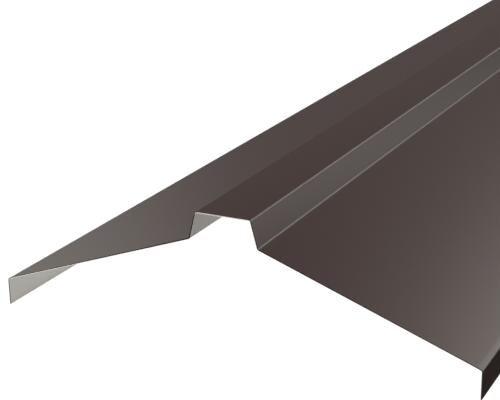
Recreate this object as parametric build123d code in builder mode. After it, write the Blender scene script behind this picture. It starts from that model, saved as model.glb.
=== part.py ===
"""Figured ridge trim for a pitched roof: one strip of coated steel sheet, folded lengthwise.

Frame: +Y runs along the trim, +X to the right, +Z up. The origin is on the floor, midway between
the two lips and midway along the length. Millimetres and degrees.
"""

import os

from build123d import *

# Driving dimensions
LENGTH = 2000.0  # stock length of one piece
SHEET = 0.6  # sheet with its zinc and coats
BEND_RADIUS = 0.7  # inside radius of every fold

# Legs of the section, from sharp corner to sharp corner on the middle line of the sheet.
# The whole strip is a quarter of a 1250 mm coil wide.
CROWN_WIDTH = 28.5  # flat top of the raised crown
STEP = 14.0  # sloping side of the crown
WING = 114.0  # wing that covers the roof sheets
LIP = 14.0  # drip lip along the outer edge of a wing

# Slopes below the horizontal, going outwards from the crown
STEP_SLOPE = 75.0
WING_PITCH = 19.8
LIP_SLOPE = 90.0


def leg(length, slope):
    """One leg of the section, going outwards and down from the crown, in the section's plane."""
    return Vector(length, 0).rotate(Axis.Z, -slope)


# Sharp corners of the right half, first measured from the middle of the crown
crown_edge = leg(CROWN_WIDTH / 2, 0)
step_foot = crown_edge + leg(STEP, STEP_SLOPE)
wing_edge = step_foot + leg(WING, WING_PITCH)
lip_end = wing_edge + leg(LIP, LIP_SLOPE)

# The lips stand on the floor, so the crown's middle line is as high as the lips reach below it
crown_middle = Vector(0, -lip_end.Y)
right_half = [crown_middle + corner for corner in (crown_edge, step_foot, wing_edge, lip_end)]
left_half = [Vector(-corner.X, corner.Y) for corner in reversed(right_half)]

# Ridge trim: the folded middle line, given the sheet's thickness, then drawn out to the stock length
with BuildPart() as ridge_trim:
    with BuildSketch(Plane.XZ):
        with BuildLine():
            FilletPolyline(*left_half, *right_half, radius=BEND_RADIUS + SHEET / 2)
        trace(line_width=SHEET)
    extrude(amount=LENGTH / 2, both=True)

ridge_trim.part.label = "ridge_trim"

os.makedirs("parts", exist_ok=True)
export_step(ridge_trim.part, "parts/ridge_trim.step")
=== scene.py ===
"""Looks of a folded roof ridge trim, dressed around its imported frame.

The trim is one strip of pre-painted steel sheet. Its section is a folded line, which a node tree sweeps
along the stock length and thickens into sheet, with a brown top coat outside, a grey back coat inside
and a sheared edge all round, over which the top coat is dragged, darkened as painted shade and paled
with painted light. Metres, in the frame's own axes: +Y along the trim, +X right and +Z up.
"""

import logging
import math
from dataclasses import dataclass, field
from enum import Enum
from typing import Any, NamedTuple

import bpy
from mathutils import Matrix, Vector

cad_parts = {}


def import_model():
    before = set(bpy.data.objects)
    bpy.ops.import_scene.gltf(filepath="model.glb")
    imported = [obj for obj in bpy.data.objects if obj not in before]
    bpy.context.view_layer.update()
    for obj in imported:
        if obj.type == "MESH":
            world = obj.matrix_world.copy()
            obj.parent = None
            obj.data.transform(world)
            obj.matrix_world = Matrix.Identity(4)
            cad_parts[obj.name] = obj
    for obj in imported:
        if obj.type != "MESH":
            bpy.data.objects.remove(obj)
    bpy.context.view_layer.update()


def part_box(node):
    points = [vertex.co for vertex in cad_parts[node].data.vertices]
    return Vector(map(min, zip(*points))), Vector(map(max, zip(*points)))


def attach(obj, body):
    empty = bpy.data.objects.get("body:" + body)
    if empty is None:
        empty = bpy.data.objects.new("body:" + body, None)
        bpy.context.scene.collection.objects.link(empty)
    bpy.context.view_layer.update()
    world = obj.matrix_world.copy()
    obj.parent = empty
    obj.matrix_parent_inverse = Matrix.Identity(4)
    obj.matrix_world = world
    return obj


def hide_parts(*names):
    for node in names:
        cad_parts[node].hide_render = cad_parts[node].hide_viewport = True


LOG = logging.getLogger("ridge_trim")

MM = 0.001
MICRON = 0.000001
HALF_TURN = 180.0
BODY = "root"
CAD_NODE = "ridge_trim"
PIECE = "ridge_trim_sheet"
BLACK = (0.0, 0.0, 0.0, 1.0)
WHITE = (1.0, 1.0, 1.0, 1.0)

Triple = tuple[float, float, float]
Grain = tuple[float, float]
Box = tuple[Vector, Vector]


class Mark(Enum):
    """Values that the folded line and the sheet's mesh carry."""

    FOLD = "fold"
    FOOT = "foot"
    COAT = "coat"
    # How much painted light pales the dark coat over a cut
    THIN = "thin"
    STRIP = "strip"


class Drag(NamedTuple):
    """Top coat dragged over a cut, dark as painted shade: how far down it reaches, and how much painted
    light pales it, from 0 to 1.
    """

    coat: float
    thin: float = 0.0

    def blend(self, other: "Drag", share: float) -> "Drag":
        """Gives the coat between this place, at 0, and another, at 1."""
        return Drag(*(here + (there - here) * share for here, there in zip(self, other)))


class Cut(Enum):
    """How far the top coat is dragged over the cut end of a leg, at the leg's left and right, partly real
    and partly painted shade and light.
    """

    # The first leaves the cut mostly bare steel, the middle ones cover more of it with the dark band of
    # painted shade, and the last two pale that band with painted light
    CLEAN = (Drag(0.12 * MM), Drag(0.12 * MM))
    FADING = (Drag(0.24 * MM), Drag(0.57 * MM))
    WHOLE = (Drag(0.57 * MM), Drag(0.57 * MM))
    PAINTED_LIGHT_RISING = (Drag(0.57 * MM), Drag(0.57 * MM, 1.0))
    FAINT_PAINTED_LIGHT = (Drag(0.57 * MM, 0.4), Drag(0.57 * MM, 0.4))


class Layer(Enum):
    """The finishes that a cut and folded strip of painted sheet shows."""

    TOP_COAT = "Top Coat"
    BACK_COAT = "Back Coat"
    # Coat over the cut, darkened as painted shade
    DRAGGED_COAT = "Dragged Coat"
    SHEARED_EDGE = "Sheared Edge"


class Octaves(Enum):
    """How much finer noise rides on the grains of a noise."""

    PLAIN = 1.0
    MIXED = 2.0
    ROUGH = 3.0


class Tint(Enum):
    """Colours of the studio's light."""

    WARM = (1.0, 0.925, 0.88)
    NEUTRAL = (1.03, 1.0, 0.945)
    DUSKY = (1.0, 0.86, 0.85)


class NodeBench:
    """A node tree in the making, with short calls that add nodes and link them."""

    def __init__(self, tree: bpy.types.NodeTree) -> None:
        """Keeps the tree that gets the nodes."""
        self.tree = tree

    def feed(self, socket: bpy.types.NodeSocket, value: Any) -> None:
        """Links an input to another node, or sets its own value.

        Args:
            socket: input to feed.
            value: an output socket, or a plain value.
        """
        if isinstance(value, bpy.types.NodeSocket):
            self.tree.links.new(value, socket)
        else:
            socket.default_value = value

    def add(self, kind: str, inputs: dict[str, Any] | None = None, **options: Any) -> bpy.types.Node:
        """Adds a node.

        Args:
            kind: the node's type name.
            inputs: input name to an output socket or a plain value.
            options: settings of the node itself.

        Returns:
            The new node.
        """
        node = self.tree.nodes.new(kind)
        for name, value in options.items():
            setattr(node, name, value)
        for name, value in (inputs or {}).items():
            self.feed(node.inputs[name], value)
        return node

    def math(self, operation: str, *values: Any) -> bpy.types.NodeSocket:
        """Adds an operation on numbers.

        Args:
            operation: the operation's name.
            values: up to three sockets or numbers.

        Returns:
            The result.
        """
        node = self.add("ShaderNodeMath", operation=operation)
        for socket, value in zip(node.inputs, values):
            self.feed(socket, value)
        return node.outputs["Value"]

    def vector_math(self, operation: str, *values: Any) -> bpy.types.NodeSocket:
        """Adds an operation on vectors.

        Args:
            operation: the operation's name.
            values: up to three sockets or plain vectors.

        Returns:
            The resulting vector.
        """
        node = self.add("ShaderNodeVectorMath", operation=operation)
        for socket, value in zip(node.inputs, values):
            self.feed(socket, value)
        return node.outputs["Vector"]

    def scaled(self, vector: Any, factor: Any) -> bpy.types.NodeSocket:
        """Adds a vector times a number.

        Args:
            vector: socket or plain vector.
            factor: socket or number.

        Returns:
            The scaled vector.
        """
        node = self.add("ShaderNodeVectorMath", {"Scale": factor}, operation="SCALE")
        self.feed(node.inputs[0], vector)
        return node.outputs["Vector"]

    def noise(self, strip: bpy.types.NodeSocket, grain: Grain, octaves: Octaves) -> bpy.types.NodeSocket:
        """Adds a noise with its own grain size across and along the unfolded strip.

        Args:
            strip: place on the strip, in metres across and along it.
            grain: size of a grain across and along the strip, in metres.
            octaves: how much finer noise the grains get.

        Returns:
            The noise, from 0 to 1 about 0.5.
        """
        grains = self.vector_math("DIVIDE", strip, (*grain, 1.0))
        texture = self.add("ShaderNodeTexNoise", {"Vector": grains, "Scale": 1.0, "Detail": octaves.value})
        return texture.outputs["Fac"]

    def blended(self, share: Any, first: Triple, second: Triple) -> bpy.types.NodeSocket:
        """Adds a blend of two colours.

        Args:
            share: socket or number, 0 for the first colour and 1 for the second.
            first: colour at 0.
            second: colour at 1.

        Returns:
            The blended colour.
        """
        node = self.add("ShaderNodeMix", data_type="RGBA")
        self.feed(node.inputs["Factor"], share)
        self.feed(node.inputs["A"], (*first, 1.0))
        self.feed(node.inputs["B"], (*second, 1.0))
        return node.outputs["Result"]

    def swing(self, noise: bpy.types.NodeSocket, share: float) -> bpy.types.NodeSocket:
        """Turns a noise into a factor about 1.

        Args:
            noise: value about 0.5.
            share: how far the factor may leave 1.

        Returns:
            The factor.
        """
        return self.math("MULTIPLY_ADD", noise, 2.0 * share, 1.0 - share)


class Finish:
    """What all finishes of the sheet share: a material with one shader, read on the unfolded strip."""

    name: str

    def start(self) -> tuple[bpy.types.Material, NodeBench, bpy.types.Node]:
        """Makes the material.

        Returns:
            The material, its node bench and its shader.
        """
        material = bpy.data.materials.new(self.name)
        material.use_nodes = True
        return material, NodeBench(material.node_tree), material.node_tree.nodes["Principled BSDF"]

    def mark(self, bench: NodeBench, mark: Mark, output: str) -> bpy.types.NodeSocket:
        """Reads a value that the sheet's mesh carries.

        Args:
            bench: the material's bench.
            mark: which value.
            output: the node's output to take.

        Returns:
            The value.
        """
        return bench.add("ShaderNodeAttribute", attribute_name=mark.value).outputs[output]


@dataclass(frozen=True)
class TopCoat(Finish):
    """Semi-gloss brown coil coating, stretched a little paler and duller over the folds."""

    name: str = "brown_top_coat"
    colour: Triple = (0.0680, 0.0473, 0.0452)
    stretched_colour: Triple = (0.072, 0.0525, 0.0505)
    roughness: float = 0.29
    stretched_roughness: float = 0.34
    mottle_grain: Grain = (90 * MM, 140 * MM)
    mottle_share: float = 0.03
    roller_grain: Grain = (1.4 * MM, 900 * MM)
    roller_share: float = 0.03
    pigment_grain: Grain = (0.4 * MM, 0.4 * MM)
    pigment_share: float = 0.05
    peel_grain: Grain = (1.8 * MM, 2.6 * MM)
    peel_depth: float = 3.0 * MICRON

    def material(self) -> bpy.types.Material:
        """Builds the coat from its mottle, roller lines, pigment and orange peel.

        Returns:
            The finished material.
        """
        material, bench, shader = self.start()
        strip = self.mark(bench, Mark.STRIP, "Vector")
        fold = self.mark(bench, Mark.FOLD, "Fac")
        mottle = bench.swing(bench.noise(strip, self.mottle_grain, Octaves.MIXED), self.mottle_share)
        roller = bench.swing(bench.noise(strip, self.roller_grain, Octaves.ROUGH), self.roller_share)
        pigment = bench.swing(bench.noise(strip, self.pigment_grain, Octaves.PLAIN), self.pigment_share)
        tone = bench.math("MULTIPLY", bench.math("MULTIPLY", mottle, roller), pigment)
        paint = bench.blended(fold, self.colour, self.stretched_colour)
        bench.feed(shader.inputs["Base Color"], bench.scaled(paint, tone))
        dulled = bench.math("MULTIPLY_ADD", fold, self.stretched_roughness - self.roughness, self.roughness)
        bench.feed(shader.inputs["Roughness"], bench.math("MULTIPLY", dulled, roller))
        peel = bench.add("ShaderNodeBump", {"Distance": self.peel_depth})
        bench.feed(peel.inputs["Height"], bench.noise(strip, self.peel_grain, Octaves.PLAIN))
        bench.feed(shader.inputs["Normal"], peel.outputs["Normal"])
        return material


@dataclass(frozen=True)
class BackCoat(Finish):
    """Thin light grey back coat with faint lengthwise streaks."""

    name: str = "grey_back_coat"
    colour: Triple = (0.585, 0.58, 0.54)
    roughness: float = 0.55
    streak_grain: Grain = (2.2 * MM, 700 * MM)
    streak_share: float = 0.04
    cloud_grain: Grain = (60 * MM, 110 * MM)
    cloud_share: float = 0.03

    def material(self) -> bpy.types.Material:
        """Builds the coat from its streaks and clouds.

        Returns:
            The finished material.
        """
        material, bench, shader = self.start()
        strip = self.mark(bench, Mark.STRIP, "Vector")
        streak = bench.swing(bench.noise(strip, self.streak_grain, Octaves.ROUGH), self.streak_share)
        cloud = bench.swing(bench.noise(strip, self.cloud_grain, Octaves.MIXED), self.cloud_share)
        tone = bench.math("MULTIPLY", streak, cloud)
        bench.feed(shader.inputs["Base Color"], bench.scaled(self.colour, tone))
        bench.feed(shader.inputs["Roughness"], bench.math("MULTIPLY", streak, self.roughness))
        return material


@dataclass(frozen=True)
class CutFinish(Finish):
    """What both finishes of a cut share: fine marks that the shear left."""

    shear_grain: Grain = (0.12 * MM, 0.12 * MM)
    shear_share: float = 0.12

    def shear_marks(self, bench: NodeBench) -> bpy.types.NodeSocket:
        """Adds the shear's marks, as a factor about 1."""
        strip = self.mark(bench, Mark.STRIP, "Vector")
        return bench.swing(bench.noise(strip, self.shear_grain, Octaves.MIXED), self.shear_share)


@dataclass(frozen=True)
class DraggedCoatAndShade(CutFinish):
    """Top coat that the shear dragged over the cut, darker than the top coat as painted shade, and paled
    with painted light.
    """

    name: str = "dragged_coat"
    # Painted shade: far darker than the top coat's own brown
    colour: Triple = (0.016, 0.012, 0.011)
    # Painted light: a paler tone for some of the cuts
    painted_light_colour: Triple = (0.08, 0.071, 0.066)
    gloss: float = 0.12
    roughness: float = 0.7

    def material(self) -> bpy.types.Material:
        """Builds the coat from its painted shade and painted light tones and the shear's marks.

        Returns:
            The finished material.
        """
        material, bench, shader = self.start()
        shear = self.shear_marks(bench)
        thin = self.mark(bench, Mark.THIN, "Fac")
        # Blends the painted shade tone towards the painted light tone
        shade_and_light = bench.blended(thin, self.colour, self.painted_light_colour)
        bench.feed(shader.inputs["Base Color"], bench.scaled(shade_and_light, shear))
        bench.feed(shader.inputs["Specular IOR Level"], self.gloss)
        bench.feed(shader.inputs["Roughness"], bench.math("MULTIPLY", shear, self.roughness))
        return material


@dataclass(frozen=True)
class ShearedEdge(CutFinish):
    """Bare steel that the shear left on the cut, below the dragged coat."""

    name: str = "sheared_edge"
    colour: Triple = (0.90, 0.89, 0.87)
    metallic: float = 0.1
    roughness: float = 0.5

    def material(self) -> bpy.types.Material:
        """Builds the steel from its shear marks.

        Returns:
            The finished material.
        """
        material, bench, shader = self.start()
        shear = self.shear_marks(bench)
        bench.feed(shader.inputs["Base Color"], bench.scaled(self.colour, shear))
        bench.feed(shader.inputs["Metallic"], self.metallic)
        bench.feed(shader.inputs["Roughness"], bench.math("MULTIPLY", shear, self.roughness))
        return material


class Station(NamedTuple):
    """A point of the folded line, with the dark coat band of painted shade over its cut and its painted
    light.

    Its fold is 1 at a corner, and its foot is 1 at a corner that is folded up.
    """

    place: Vector
    fold: float
    foot: float
    coat: float
    thin: float


@dataclass(frozen=True)
class FoldedSection:
    """Section of the trim: legs from sharp corner to sharp corner on the sheet's middle line.

    Each wing is flat up to its last millimetres, where it sags down to its lip. The cuts are those of
    the legs' ends, from the left lip to the right lip.
    """

    crown_width: float = 28.5 * MM
    step: float = 14.0 * MM
    wing: float = 114.0 * MM
    lip: float = 14.0 * MM
    step_slope: float = math.radians(75.0)
    wing_pitch: float = math.radians(19.8)
    lip_slope: float = math.radians(90.0)
    sheet: float = 0.6 * MM
    bend_radius: float = 0.7 * MM
    foot_radius: float = 1.1 * MM
    # Cuts from the left lip to the right lip: painted shade covers the lips' and steps' cuts, grows along
    # the left wing towards the step and leaves the crown's mostly bare, and painted light pales the right
    # wing's and lip's
    cuts: tuple[Cut, ...] = (
        Cut.WHOLE,
        Cut.FADING,
        Cut.WHOLE,
        Cut.CLEAN,
        Cut.WHOLE,
        Cut.PAINTED_LIGHT_RISING,
        Cut.FAINT_PAINTED_LIGHT,
    )
    flat_margin: float = 1.3 * MM
    flat_pitch: float = 20 * MM
    sag: float = 0.19 * MM
    sag_run: float = 3.0 * MM
    sag_steps: int = 6

    def corners(self) -> list[Vector]:
        """Finds the sharp corners, with the lips standing on the floor.

        Returns:
            The corners, from the left lip's edge to the right lip's edge.
        """
        legs = (
            (self.crown_width / 2, 0.0),
            (self.step, self.step_slope),
            (self.wing, self.wing_pitch),
            (self.lip, self.lip_slope),
        )
        right = [Vector((0, 0, sum(length * math.sin(slope) for length, slope in legs)))]
        for length, slope in legs:
            right.append(right[-1] + Vector((length * math.cos(slope), 0, -length * math.sin(slope))))
        left = [Vector((-corner.x, 0, corner.z)) for corner in reversed(right[1:])]
        return left + right[1:]

    def flat_shares(self, start: Vector, end: Vector) -> list[float]:
        """Spaces the points on a leg's flat, closer where a wing curves down to its lip.

        Args:
            start: the leg's left corner.
            end: the leg's right corner.

        Returns:
            The points' places, from 0 at the left corner to 1 at the right one.
        """
        run = (end - start).length
        margin = self.flat_margin / run
        bays = max(1, round(run / self.flat_pitch))
        shares = [margin + (1.0 - 2.0 * margin) * bay / bays for bay in range(bays + 1)]
        # Only a wing is long enough for several bays
        if bays > 1:
            pace = (self.sag_run / run - margin) / self.sag_steps
            close = [margin + pace * step for step in range(1, self.sag_steps + 1)]
            shares += close if start.z < end.z else [1.0 - share for share in close]
        return sorted(shares)

    def sagged(self, station: Station, lip: float) -> Station:
        """Lowers a point that lies close to a lip, where the wing curves down to the fold.

        Args:
            station: the point, as on a flat wing.
            lip: how far out from the middle the lips stand.

        Returns:
            The lowered point.
        """
        share = max(0.0, 1.0 - (lip - abs(station.place.x)) / self.sag_run)
        return station._replace(place=station.place - Vector((0, 0, self.sag * share**2)))

    def stations(self) -> list[Station]:
        """Lists the points of the folded line: its ends, its corners and points on each leg between them.

        Returns:
            The points, from the left lip's edge to the right lip's edge.
        """
        corners = self.corners()
        stations = [Station(corners[0], 0.0, 0.0, *self.cuts[0].value[0])]
        for index, (start, end) in enumerate(zip(corners, corners[1:])):
            left_drag, right_drag = self.cuts[index].value
            for share in self.flat_shares(start, end):
                drag = left_drag.blend(right_drag, share)
                stations.append(Station(start.lerp(end, share), 0.0, 0.0, *drag))
            if end is corners[-1]:
                stations.append(Station(end, 0.0, 0.0, *right_drag))
            else:
                folded_up = (end - start).cross(corners[index + 2] - end).y < 0.0
                drag = right_drag.blend(self.cuts[index + 1].value[0], 0.5)
                stations.append(Station(end, 1.0, float(folded_up), *drag))
        first, *between, last = stations
        return [first, *(self.sagged(station, corners[-1].x) for station in between), last]


@dataclass
class SheetSweep:
    """Node tree that rounds a folded line, draws it out to the stock length and gives it thickness."""

    bend_steps: int = 12
    length_pitch: float = 25 * MM
    weld_distance: float = 1.0 * MICRON
    arris_angle: float = math.radians(40.0)
    sockets: dict[str, str] = field(default_factory=dict)

    def tree(self) -> bpy.types.NodeTree:
        """Builds the tree.

        Returns:
            The finished tree, with its inputs' identifiers kept by name.
        """
        tree = bpy.data.node_groups.new("folded_sheet", "GeometryNodeTree")
        bench = NodeBench(tree)
        self.name_sockets(tree)
        given = bench.add("NodeGroupInput").outputs
        profile, section, across = self.rounded_line(bench, given)
        middle = self.drawn_out(bench, given, profile, section, across)
        sheet, choices = self.thickened(bench, given, middle)
        dressed = self.dressed(bench, given, sheet, choices)
        bench.add("NodeGroupOutput", {"Sheet": dressed})
        return tree

    def name_sockets(self, tree: bpy.types.NodeTree) -> None:
        """Gives the tree its named inputs and its output.

        Args:
            tree: the empty tree.
        """
        kinds = {
            "Folded Line": "NodeSocketGeometry",
            "Bend Radius": "NodeSocketFloat",
            "Foot Radius": "NodeSocketFloat",
            "Bend Steps": "NodeSocketInt",
            "Near End": "NodeSocketFloat",
            "Far End": "NodeSocketFloat",
            "Length Steps": "NodeSocketInt",
            "Sheet": "NodeSocketFloat",
            **{layer.value: "NodeSocketMaterial" for layer in Layer},
        }
        for name, kind in kinds.items():
            socket = tree.interface.new_socket(name, in_out="INPUT", socket_type=kind)
            self.sockets[name] = socket.identifier
        tree.interface.new_socket("Sheet", in_out="OUTPUT", socket_type="NodeSocketGeometry")

    def marked(self, bench: NodeBench, mark: Mark) -> bpy.types.NodeSocket:
        """Reads a value that the folded line carries."""
        node = bench.add("GeometryNodeInputNamedAttribute", {"Name": mark.value}, data_type="FLOAT")
        return node.outputs["Attribute"]

    def rounded_line(self, bench: NodeBench, given: Any) -> tuple[bpy.types.NodeSocket, ...]:
        """Rounds the folded line where it is folded.

        Args:
            bench: the tree's bench.
            given: the tree's inputs.

        Returns:
            The line, its places in the section and how far across the strip each lies.
        """
        line = bench.add("GeometryNodeMeshToCurve", {"Mesh": given["Folded Line"]}).outputs["Curve"]
        wider = bench.math("SUBTRACT", given["Foot Radius"], given["Bend Radius"])
        radius = bench.math("MULTIPLY_ADD", self.marked(bench, Mark.FOOT), wider, given["Bend Radius"])
        middle_radius = bench.math("MULTIPLY_ADD", given["Sheet"], 0.5, radius)
        fillet = bench.math("MULTIPLY", middle_radius, self.marked(bench, Mark.FOLD))
        rounded = bench.add("GeometryNodeFilletCurve", {"Curve": line, "Limit Radius": True}, mode="POLY")
        bench.feed(rounded.inputs["Count"], given["Bend Steps"])
        bench.feed(rounded.inputs["Radius"], fillet)
        kept = bench.add("GeometryNodeCaptureAttribute", domain="POINT")
        bench.feed(kept.inputs["Geometry"], rounded.outputs["Curve"])
        kept.capture_items.new("VECTOR", "Section")
        kept.capture_items.new("FLOAT", "Across")
        bench.feed(kept.inputs["Section"], bench.add("GeometryNodeInputPosition").outputs["Position"])
        bench.feed(kept.inputs["Across"], bench.add("GeometryNodeSplineParameter").outputs["Length"])
        return kept.outputs["Geometry"], kept.outputs["Section"], kept.outputs["Across"]

    def drawn_out(
        self,
        bench: NodeBench,
        given: Any,
        profile: bpy.types.NodeSocket,
        section: bpy.types.NodeSocket,
        across: bpy.types.NodeSocket,
    ) -> bpy.types.NodeSocket:
        """Draws the rounded line out from the near end to the far end.

        Args:
            bench: the tree's bench.
            given: the tree's inputs.
            profile: the rounded line.
            section: places in the section.
            across: distance across the strip.

        Returns:
            The sheet's middle surface, in the top coat.
        """
        near = bench.add("ShaderNodeCombineXYZ", {"Y": given["Near End"]}).outputs["Vector"]
        far = bench.add("ShaderNodeCombineXYZ", {"Y": given["Far End"]}).outputs["Vector"]
        axis = bench.add("GeometryNodeCurvePrimitiveLine", {"Start": near, "End": far}, mode="POINTS")
        count = bench.math("ADD", given["Length Steps"], 1.0)
        path = bench.add("GeometryNodeResampleCurve", {"Count": count}, mode="COUNT")
        bench.feed(path.inputs["Curve"], axis.outputs["Curve"])
        kept = bench.add("GeometryNodeCaptureAttribute", domain="POINT")
        bench.feed(kept.inputs["Geometry"], path.outputs["Curve"])
        kept.capture_items.new("VECTOR", "Path")
        bench.feed(kept.inputs["Path"], bench.add("GeometryNodeInputPosition").outputs["Position"])
        sweep = bench.add("GeometryNodeCurveToMesh", {"Profile Curve": profile})
        bench.feed(sweep.inputs["Curve"], kept.outputs["Geometry"])
        placed = bench.add("GeometryNodeSetPosition", {"Geometry": sweep.outputs["Mesh"]})
        bench.feed(placed.inputs["Position"], bench.vector_math("ADD", section, kept.outputs["Path"]))
        along = bench.add("ShaderNodeSeparateXYZ", {"Vector": kept.outputs["Path"]}).outputs["Y"]
        strip = bench.add("ShaderNodeCombineXYZ", {"X": across, "Y": along}).outputs["Vector"]
        marked = bench.add("GeometryNodeStoreNamedAttribute", data_type="FLOAT_VECTOR", domain="POINT")
        bench.feed(marked.inputs["Geometry"], placed.outputs["Geometry"])
        bench.feed(marked.inputs["Name"], Mark.STRIP.value)
        bench.feed(marked.inputs["Value"], strip)
        painted = bench.add("GeometryNodeSetMaterial", {"Geometry": marked.outputs["Geometry"]})
        bench.feed(painted.inputs["Material"], given[Layer.TOP_COAT.value])
        return painted.outputs["Geometry"]

    def thickened(
        self, bench: NodeBench, given: Any, middle: bpy.types.NodeSocket
    ) -> tuple[bpy.types.NodeSocket, dict[Layer, bpy.types.NodeSocket]]:
        """Gives the middle surface the sheet's thickness, in a bare layer and a coated layer.

        Args:
            bench: the tree's bench.
            given: the tree's inputs.
            middle: the sheet's middle surface.

        Returns:
            The closed sheet, and the choice of the faces that each finish but the top coat gets.
        """
        normal = bench.add("GeometryNodeInputNormal").outputs["Normal"]
        half_down = bench.scaled(normal, bench.math("MULTIPLY", given["Sheet"], -0.5))
        lowered = bench.add("GeometryNodeSetPosition", {"Geometry": middle, "Offset": half_down})
        inner = bench.add("GeometryNodeCaptureAttribute", domain="FACE")
        bench.feed(inner.inputs["Geometry"], lowered.outputs["Geometry"])
        inner.capture_items.new("FLOAT", "Coat")
        bench.feed(inner.inputs["Coat"], self.marked(bench, Mark.COAT))
        back = bench.add("GeometryNodeFlipFaces", {"Mesh": inner.outputs["Geometry"]}).outputs["Mesh"]
        marked = bench.add("GeometryNodeCaptureAttribute", {"Geometry": back}, domain="FACE")
        marked.capture_items.new("BOOLEAN", "Inside")
        bench.feed(marked.inputs["Inside"], True)
        bare = bench.math("SUBTRACT", given["Sheet"], inner.outputs["Coat"])
        steel = bench.add("GeometryNodeExtrudeMesh", {"Individual": False}, mode="FACES")
        bench.feed(steel.inputs["Mesh"], inner.outputs["Geometry"])
        bench.feed(steel.inputs["Offset Scale"], bare)
        coat = bench.add("GeometryNodeExtrudeMesh", {"Individual": False}, mode="FACES")
        bench.feed(coat.inputs["Mesh"], steel.outputs["Mesh"])
        bench.feed(coat.inputs["Selection"], steel.outputs["Top"])
        bench.feed(coat.inputs["Offset Scale"], inner.outputs["Coat"])
        joined = bench.add("GeometryNodeJoinGeometry")
        bench.feed(joined.inputs["Geometry"], marked.outputs["Geometry"])
        bench.feed(joined.inputs["Geometry"], coat.outputs["Mesh"])
        welded = bench.add("GeometryNodeMergeByDistance", {"Geometry": joined.outputs["Geometry"]})
        bench.feed(welded.inputs["Distance"], self.weld_distance)
        choices = {
            Layer.BACK_COAT: marked.outputs["Inside"],
            # The coat band's sides carry painted shade
            Layer.DRAGGED_COAT: coat.outputs["Side"],
            Layer.SHEARED_EDGE: steel.outputs["Side"],
        }
        return welded.outputs["Geometry"], choices

    def dressed(
        self,
        bench: NodeBench,
        given: Any,
        sheet: bpy.types.NodeSocket,
        choices: dict[Layer, bpy.types.NodeSocket],
    ) -> bpy.types.NodeSocket:
        """Smooths the folds, keeps the arrises sharp and gives the back and the cut their finishes.

        Args:
            bench: the tree's bench.
            given: the tree's inputs.
            sheet: the closed sheet.
            choices: which faces each finish gets.

        Returns:
            The dressed sheet.
        """
        turn = bench.add("GeometryNodeInputMeshEdgeAngle").outputs["Unsigned Angle"]
        sharp = bench.add("FunctionNodeCompare", operation="GREATER_THAN", data_type="FLOAT")
        bench.feed(sharp.inputs[0], turn)
        bench.feed(sharp.inputs[1], self.arris_angle)
        smooth = bench.add("GeometryNodeSetShadeSmooth", {"Shade Smooth": True}, domain="FACE")
        bench.feed(smooth.inputs["Geometry"], sheet)
        edged = bench.add("GeometryNodeSetShadeSmooth", {"Shade Smooth": False}, domain="EDGE")
        bench.feed(edged.inputs["Geometry"], smooth.outputs["Geometry"])
        bench.feed(edged.inputs["Selection"], sharp.outputs["Result"])
        realized = bench.add("GeometryNodeRealizeInstances", {"Geometry": edged.outputs["Geometry"]})
        whole = realized.outputs["Geometry"]
        for layer, choice in choices.items():
            dress = bench.add("GeometryNodeSetMaterial", {"Geometry": whole, "Selection": choice})
            bench.feed(dress.inputs["Material"], given[layer.value])
            whole = dress.outputs["Geometry"]
        return whole


@dataclass
class RidgeTrim:
    """The trim itself: its section, how it is swept and its four finishes."""

    section: FoldedSection = FoldedSection()
    sweep: SheetSweep = field(default_factory=SheetSweep)
    top_coat: TopCoat = TopCoat()
    back_coat: BackCoat = BackCoat()
    dragged_coat: DraggedCoatAndShade = DraggedCoatAndShade()
    sheared_edge: ShearedEdge = ShearedEdge()

    def folded_line(self) -> bpy.types.Object:
        """Makes the folded line as a mesh of edges that carries its marks.

        Returns:
            The line's object.
        """
        stations = self.section.stations()
        mesh = bpy.data.meshes.new("folded_line")
        edges = [(index, index + 1) for index in range(len(stations) - 1)]
        mesh.from_pydata([station.place for station in stations], edges, [])
        # The marks include the cuts' painted shade band and their painted light
        for mark in (Mark.FOLD, Mark.FOOT, Mark.COAT, Mark.THIN):
            points = mesh.attributes.new(mark.value, "FLOAT", "POINT").data
            for point, station in zip(points, stations):
                point.value = getattr(station, mark.value)
        line = bpy.data.objects.new("folded_line", mesh)
        bpy.context.scene.collection.objects.link(line)
        return line

    def build(self, box: Box) -> bpy.types.Object:
        """Sweeps the section between the frame's two ends.

        Args:
            box: lowest and highest corner of the trim.

        Returns:
            The trim as one plain mesh.
        """
        near, far = box[0][1], box[1][1]
        line = self.folded_line()
        modifier = line.modifiers.new("folded_sheet", "NODES")
        modifier.node_group = self.sweep.tree()
        values = {
            "Bend Radius": self.section.bend_radius,
            "Foot Radius": self.section.foot_radius,
            "Bend Steps": self.sweep.bend_steps,
            "Near End": near,
            "Far End": far,
            "Length Steps": round((far - near) / self.sweep.length_pitch),
            "Sheet": self.section.sheet,
            Layer.TOP_COAT.value: self.top_coat.material(),
            Layer.BACK_COAT.value: self.back_coat.material(),
            Layer.DRAGGED_COAT.value: self.dragged_coat.material(),
            Layer.SHEARED_EDGE.value: self.sheared_edge.material(),
        }
        for name, value in values.items():
            modifier[self.sweep.sockets[name]] = value
        depsgraph = bpy.context.evaluated_depsgraph_get()
        mesh = bpy.data.meshes.new_from_object(line.evaluated_get(depsgraph))
        mesh.name = PIECE
        line.modifiers.remove(modifier)
        bpy.data.objects.remove(line)
        sheet = bpy.data.objects.new(PIECE, mesh)
        bpy.context.scene.collection.objects.link(sheet)
        return sheet

    def dress(self, sheet: bpy.types.Object) -> None:
        """Puts the sheet in the place of its CAD node.

        Args:
            sheet: the finished sheet.
        """
        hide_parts(CAD_NODE)
        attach(sheet, BODY)


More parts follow.
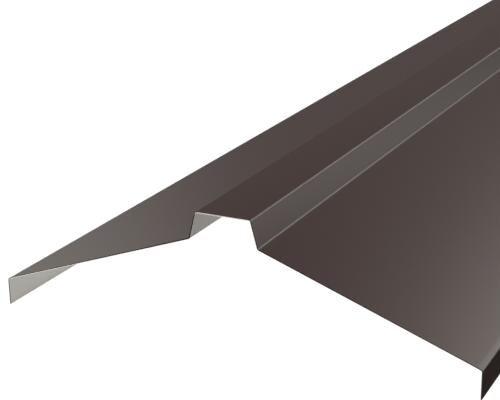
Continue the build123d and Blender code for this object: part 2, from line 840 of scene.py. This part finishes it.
@dataclass(frozen=True)
class SoftPanel:
    """A far soft-edged panel of light. Angles are in degrees, headings turn right from +Y."""

    name: str
    heading: float
    height: float
    width: float
    tall: float
    soft: float
    radiance: float
    tint: Tint = Tint.WARM

    def glow(self, bench: NodeBench, heading: Any, height: Any) -> bpy.types.NodeSocket:
        """Adds the panel's light, full inside its edges and fading across them.

        Args:
            bench: the world's bench.
            heading: heading of the direction looked in.
            height: height of that direction above the horizon.

        Returns:
            The panel's coloured radiance in that direction.
        """
        turned = bench.math("SUBTRACT", heading, self.heading)
        aside = bench.math("ABSOLUTE", bench.math("WRAP", turned, HALF_TURN, -HALF_TURN))
        above = bench.math("ABSOLUTE", bench.math("SUBTRACT", height, self.height))
        across = self.fade(bench, aside, self.width)
        upright = self.fade(bench, above, self.tall)
        inside = bench.math("MULTIPLY", across, upright)
        light = bench.scaled(self.tint.value, bench.math("MULTIPLY", inside, self.radiance))
        light.node.label = self.name
        return light

    def fade(self, bench: NodeBench, angle: Any, span: float) -> bpy.types.NodeSocket:
        """Adds a smooth step down across one of the panel's edges.

        Args:
            bench: the world's bench.
            angle: angle from the panel's middle.
            span: angle between the panel's two edges.

        Returns:
            1 inside the edge and 0 outside it.
        """
        edge = bench.add("ShaderNodeMapRange", {"Value": angle}, interpolation_type="SMOOTHSTEP")
        bench.feed(edge.inputs["From Min"], span / 2 - self.soft)
        bench.feed(edge.inputs["From Max"], span / 2 + self.soft)
        bench.feed(edge.inputs["To Min"], 1.0)
        bench.feed(edge.inputs["To Max"], 0.0)
        return edge.outputs["Result"]


@dataclass(frozen=True)
class LightStrip:
    """A glowing strip under the floor, between the trim's lips, that lights only its inside."""

    name: str
    centre: float
    width: float
    radiance: float
    depth: float = 4 * MM
    lead: float = 300 * MM

    def build(self, box: Box) -> None:
        """Lays the strip along the trim and past both ends.

        Args:
            box: the trim's box.
        """
        light = bpy.data.lights.new(self.name, "AREA")
        light.shape = "RECTANGLE"
        light.size = self.width
        light.size_y = box[1][1] - box[0][1] + 2 * self.lead
        light.energy = self.radiance * math.pi * light.size * light.size_y
        lamp = bpy.data.objects.new(self.name, light)
        place = Matrix.Translation((self.centre, 0.0, box[0][2] - self.depth))
        lamp.matrix_world = place @ Matrix.Rotation(math.pi, 4, "X")
        lamp.visible_camera = False
        lamp.visible_glossy = False
        bpy.context.scene.collection.objects.link(lamp)


@dataclass(frozen=True)
class Studio:
    """White floor and dome that only the camera sees, soft panels around the trim and strips under it."""

    radius: float = 60.0
    segments: int = 64
    rings: int = 32
    floor_gap: float = 1 * MM
    floor_glow: float = 1.05
    ambient: Triple = (0.02, 0.0185, 0.0176)
    # Name, heading, height, width, tall, softness of the edges, radiance and tint
    panels: tuple[SoftPanel, ...] = (
        SoftPanel("ceiling", 0.0, 90.0, 400.0, 36.0, 10.0, 4.25),
        SoftPanel("right_high_bank", 27.0, 28.0, 44.0, 15.0, 5.0, 2.97, Tint.NEUTRAL),
        SoftPanel("right_low_bank", 33.5, 14.5, 31.0, 12.0, 5.0, 3.2, Tint.NEUTRAL),
        SoftPanel("right_low_strip", 33.7, -2.0, 19.0, 6.0, 3.0, 1.93),
        SoftPanel("left_bank", -85.0, 13.0, 89.0, 24.0, 7.0, 1.56, Tint.NEUTRAL),
        SoftPanel("front_low_bank", 180.0, -8.0, 110.0, 30.0, 6.0, 1.4),
        SoftPanel("front_high_bank", 180.0, 60.0, 120.0, 30.0, 8.0, 1.5),
        SoftPanel("far_haze_low", -22.0, 0.0, 30.0, 14.0, 5.0, 0.082, Tint.DUSKY),
        SoftPanel("far_haze_high", -20.0, 13.4, 28.0, 16.0, 5.0, 0.116),
        SoftPanel("far_haze_top", 0.0, 28.0, 24.0, 20.0, 5.0, 0.07),
    )
    # Name, place across the trim, width and radiance
    strips: tuple[LightStrip, ...] = (
        LightStrip("left_floor_strip", -85 * MM, 70 * MM, 1.05),
        LightStrip("middle_floor_strip", 0 * MM, 80 * MM, 0.38),
        LightStrip("right_floor_strip", 85 * MM, 70 * MM, 1.05),
    )

    def build(self, box: Box) -> None:
        """Sets the world, the floor and the strips under it.

        Args:
            box: the trim's box.
        """
        bpy.context.scene.view_settings.view_transform = "Standard"
        bpy.context.scene.world = self.surroundings()
        self.white_floor()
        for strip in self.strips:
            strip.build(box)

    def surroundings(self) -> bpy.types.World:
        """Builds the world from its soft panels.

        Returns:
            The world.
        """
        world = bpy.data.worlds.new("studio")
        world.use_nodes = True
        bench = NodeBench(world.node_tree)
        look = bench.add("ShaderNodeTexCoord").outputs["Generated"]
        axes = bench.add("ShaderNodeSeparateXYZ", {"Vector": look}).outputs
        heading = bench.math("DEGREES", bench.math("ARCTAN2", axes["X"], axes["Y"]))
        height = bench.math("DEGREES", bench.math("ARCSINE", axes["Z"]))
        light: Any = self.ambient
        for panel in self.panels:
            light = bench.vector_math("ADD", light, panel.glow(bench, heading, height))
        bench.feed(world.node_tree.nodes["Background"].inputs["Color"], light)
        return world

    def white_floor(self) -> None:
        """Makes the floor and the dome over it as one glowing shell that only the camera sees."""
        bpy.ops.mesh.primitive_uv_sphere_add(
            segments=self.segments, ring_count=self.rings, radius=self.radius
        )
        shell = bpy.context.active_object
        shell.name = "studio_floor"
        for vertex in shell.data.vertices:
            vertex.co.z = max(vertex.co.z, -self.floor_gap)
        glow = bpy.data.materials.new("white_floor")
        glow.use_nodes = True
        shader = glow.node_tree.nodes["Principled BSDF"]
        shader.inputs["Base Color"].default_value = BLACK
        shader.inputs["Specular IOR Level"].default_value = 0.0
        shader.inputs["Emission Color"].default_value = WHITE
        shader.inputs["Emission Strength"].default_value = self.floor_glow
        shell.data.materials.append(glow)
        shell.visible_diffuse = False
        shell.visible_glossy = False
        shell.visible_transmission = False
        shell.visible_shadow = False


@dataclass(frozen=True)
class PhotoCamera:
    """The photograph's camera, placed from the top of the near end.

    The lens and the sensor are in millimetres and the angles in degrees. The heading turns left from
    +Y, the pitch is downwards, and the roll leans to the left.
    """

    lens: float = 93.3
    sensor: float = 36.0
    nearest: float = 10 * MM
    farthest: float = 200.0
    place: Triple = (0.2649, -0.4923, 0.19976)
    heading: float = 26.97
    pitch: float = 18.99
    roll: float = -0.96

    def build(self, box: Box) -> bpy.types.Object:
        """Stands the camera and makes it the scene's own.

        Args:
            box: the trim's box.

        Returns:
            The camera.
        """
        data = bpy.data.cameras.new("photo_camera")
        data.lens = self.lens
        data.sensor_width = self.sensor
        data.clip_start = self.nearest
        data.clip_end = self.farthest
        camera = bpy.data.objects.new("photo_camera", data)
        turn, dip, lean = (math.radians(angle) for angle in (self.heading, self.pitch, self.roll))
        forward = Vector((-math.sin(turn) * math.cos(dip), math.cos(turn) * math.cos(dip), -math.sin(dip)))
        level = Vector((math.cos(turn), math.sin(turn), 0.0))
        upright = level.cross(forward)
        right = math.cos(lean) * level + math.sin(lean) * upright
        above = math.cos(lean) * upright - math.sin(lean) * level
        pose = Matrix((right, above, -forward)).transposed().to_4x4()
        near_top = Vector((0.0, box[0][1], box[1][2]))
        camera.matrix_world = Matrix.Translation(near_top + Vector(self.place)) @ pose
        bpy.context.scene.collection.objects.link(camera)
        bpy.context.scene.camera = camera
        return camera


def main() -> None:
    """Loads the frame, builds the trim, the studio and the camera, and reports each."""
    logging.basicConfig(level=logging.INFO, format="%(name)s: %(message)s")
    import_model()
    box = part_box(CAD_NODE)
    trim = RidgeTrim()
    sheet = trim.build(box)
    trim.dress(sheet)
    LOG.info("%s: %d faces", sheet.name, len(sheet.data.polygons))
    studio = Studio()
    studio.build(box)
    LOG.info("studio: %d panels", len(studio.panels))
    camera = PhotoCamera().build(box)
    LOG.info("%s: lens %.1f mm", camera.name, camera.data.lens)


if __name__ == "__main__":
    main()
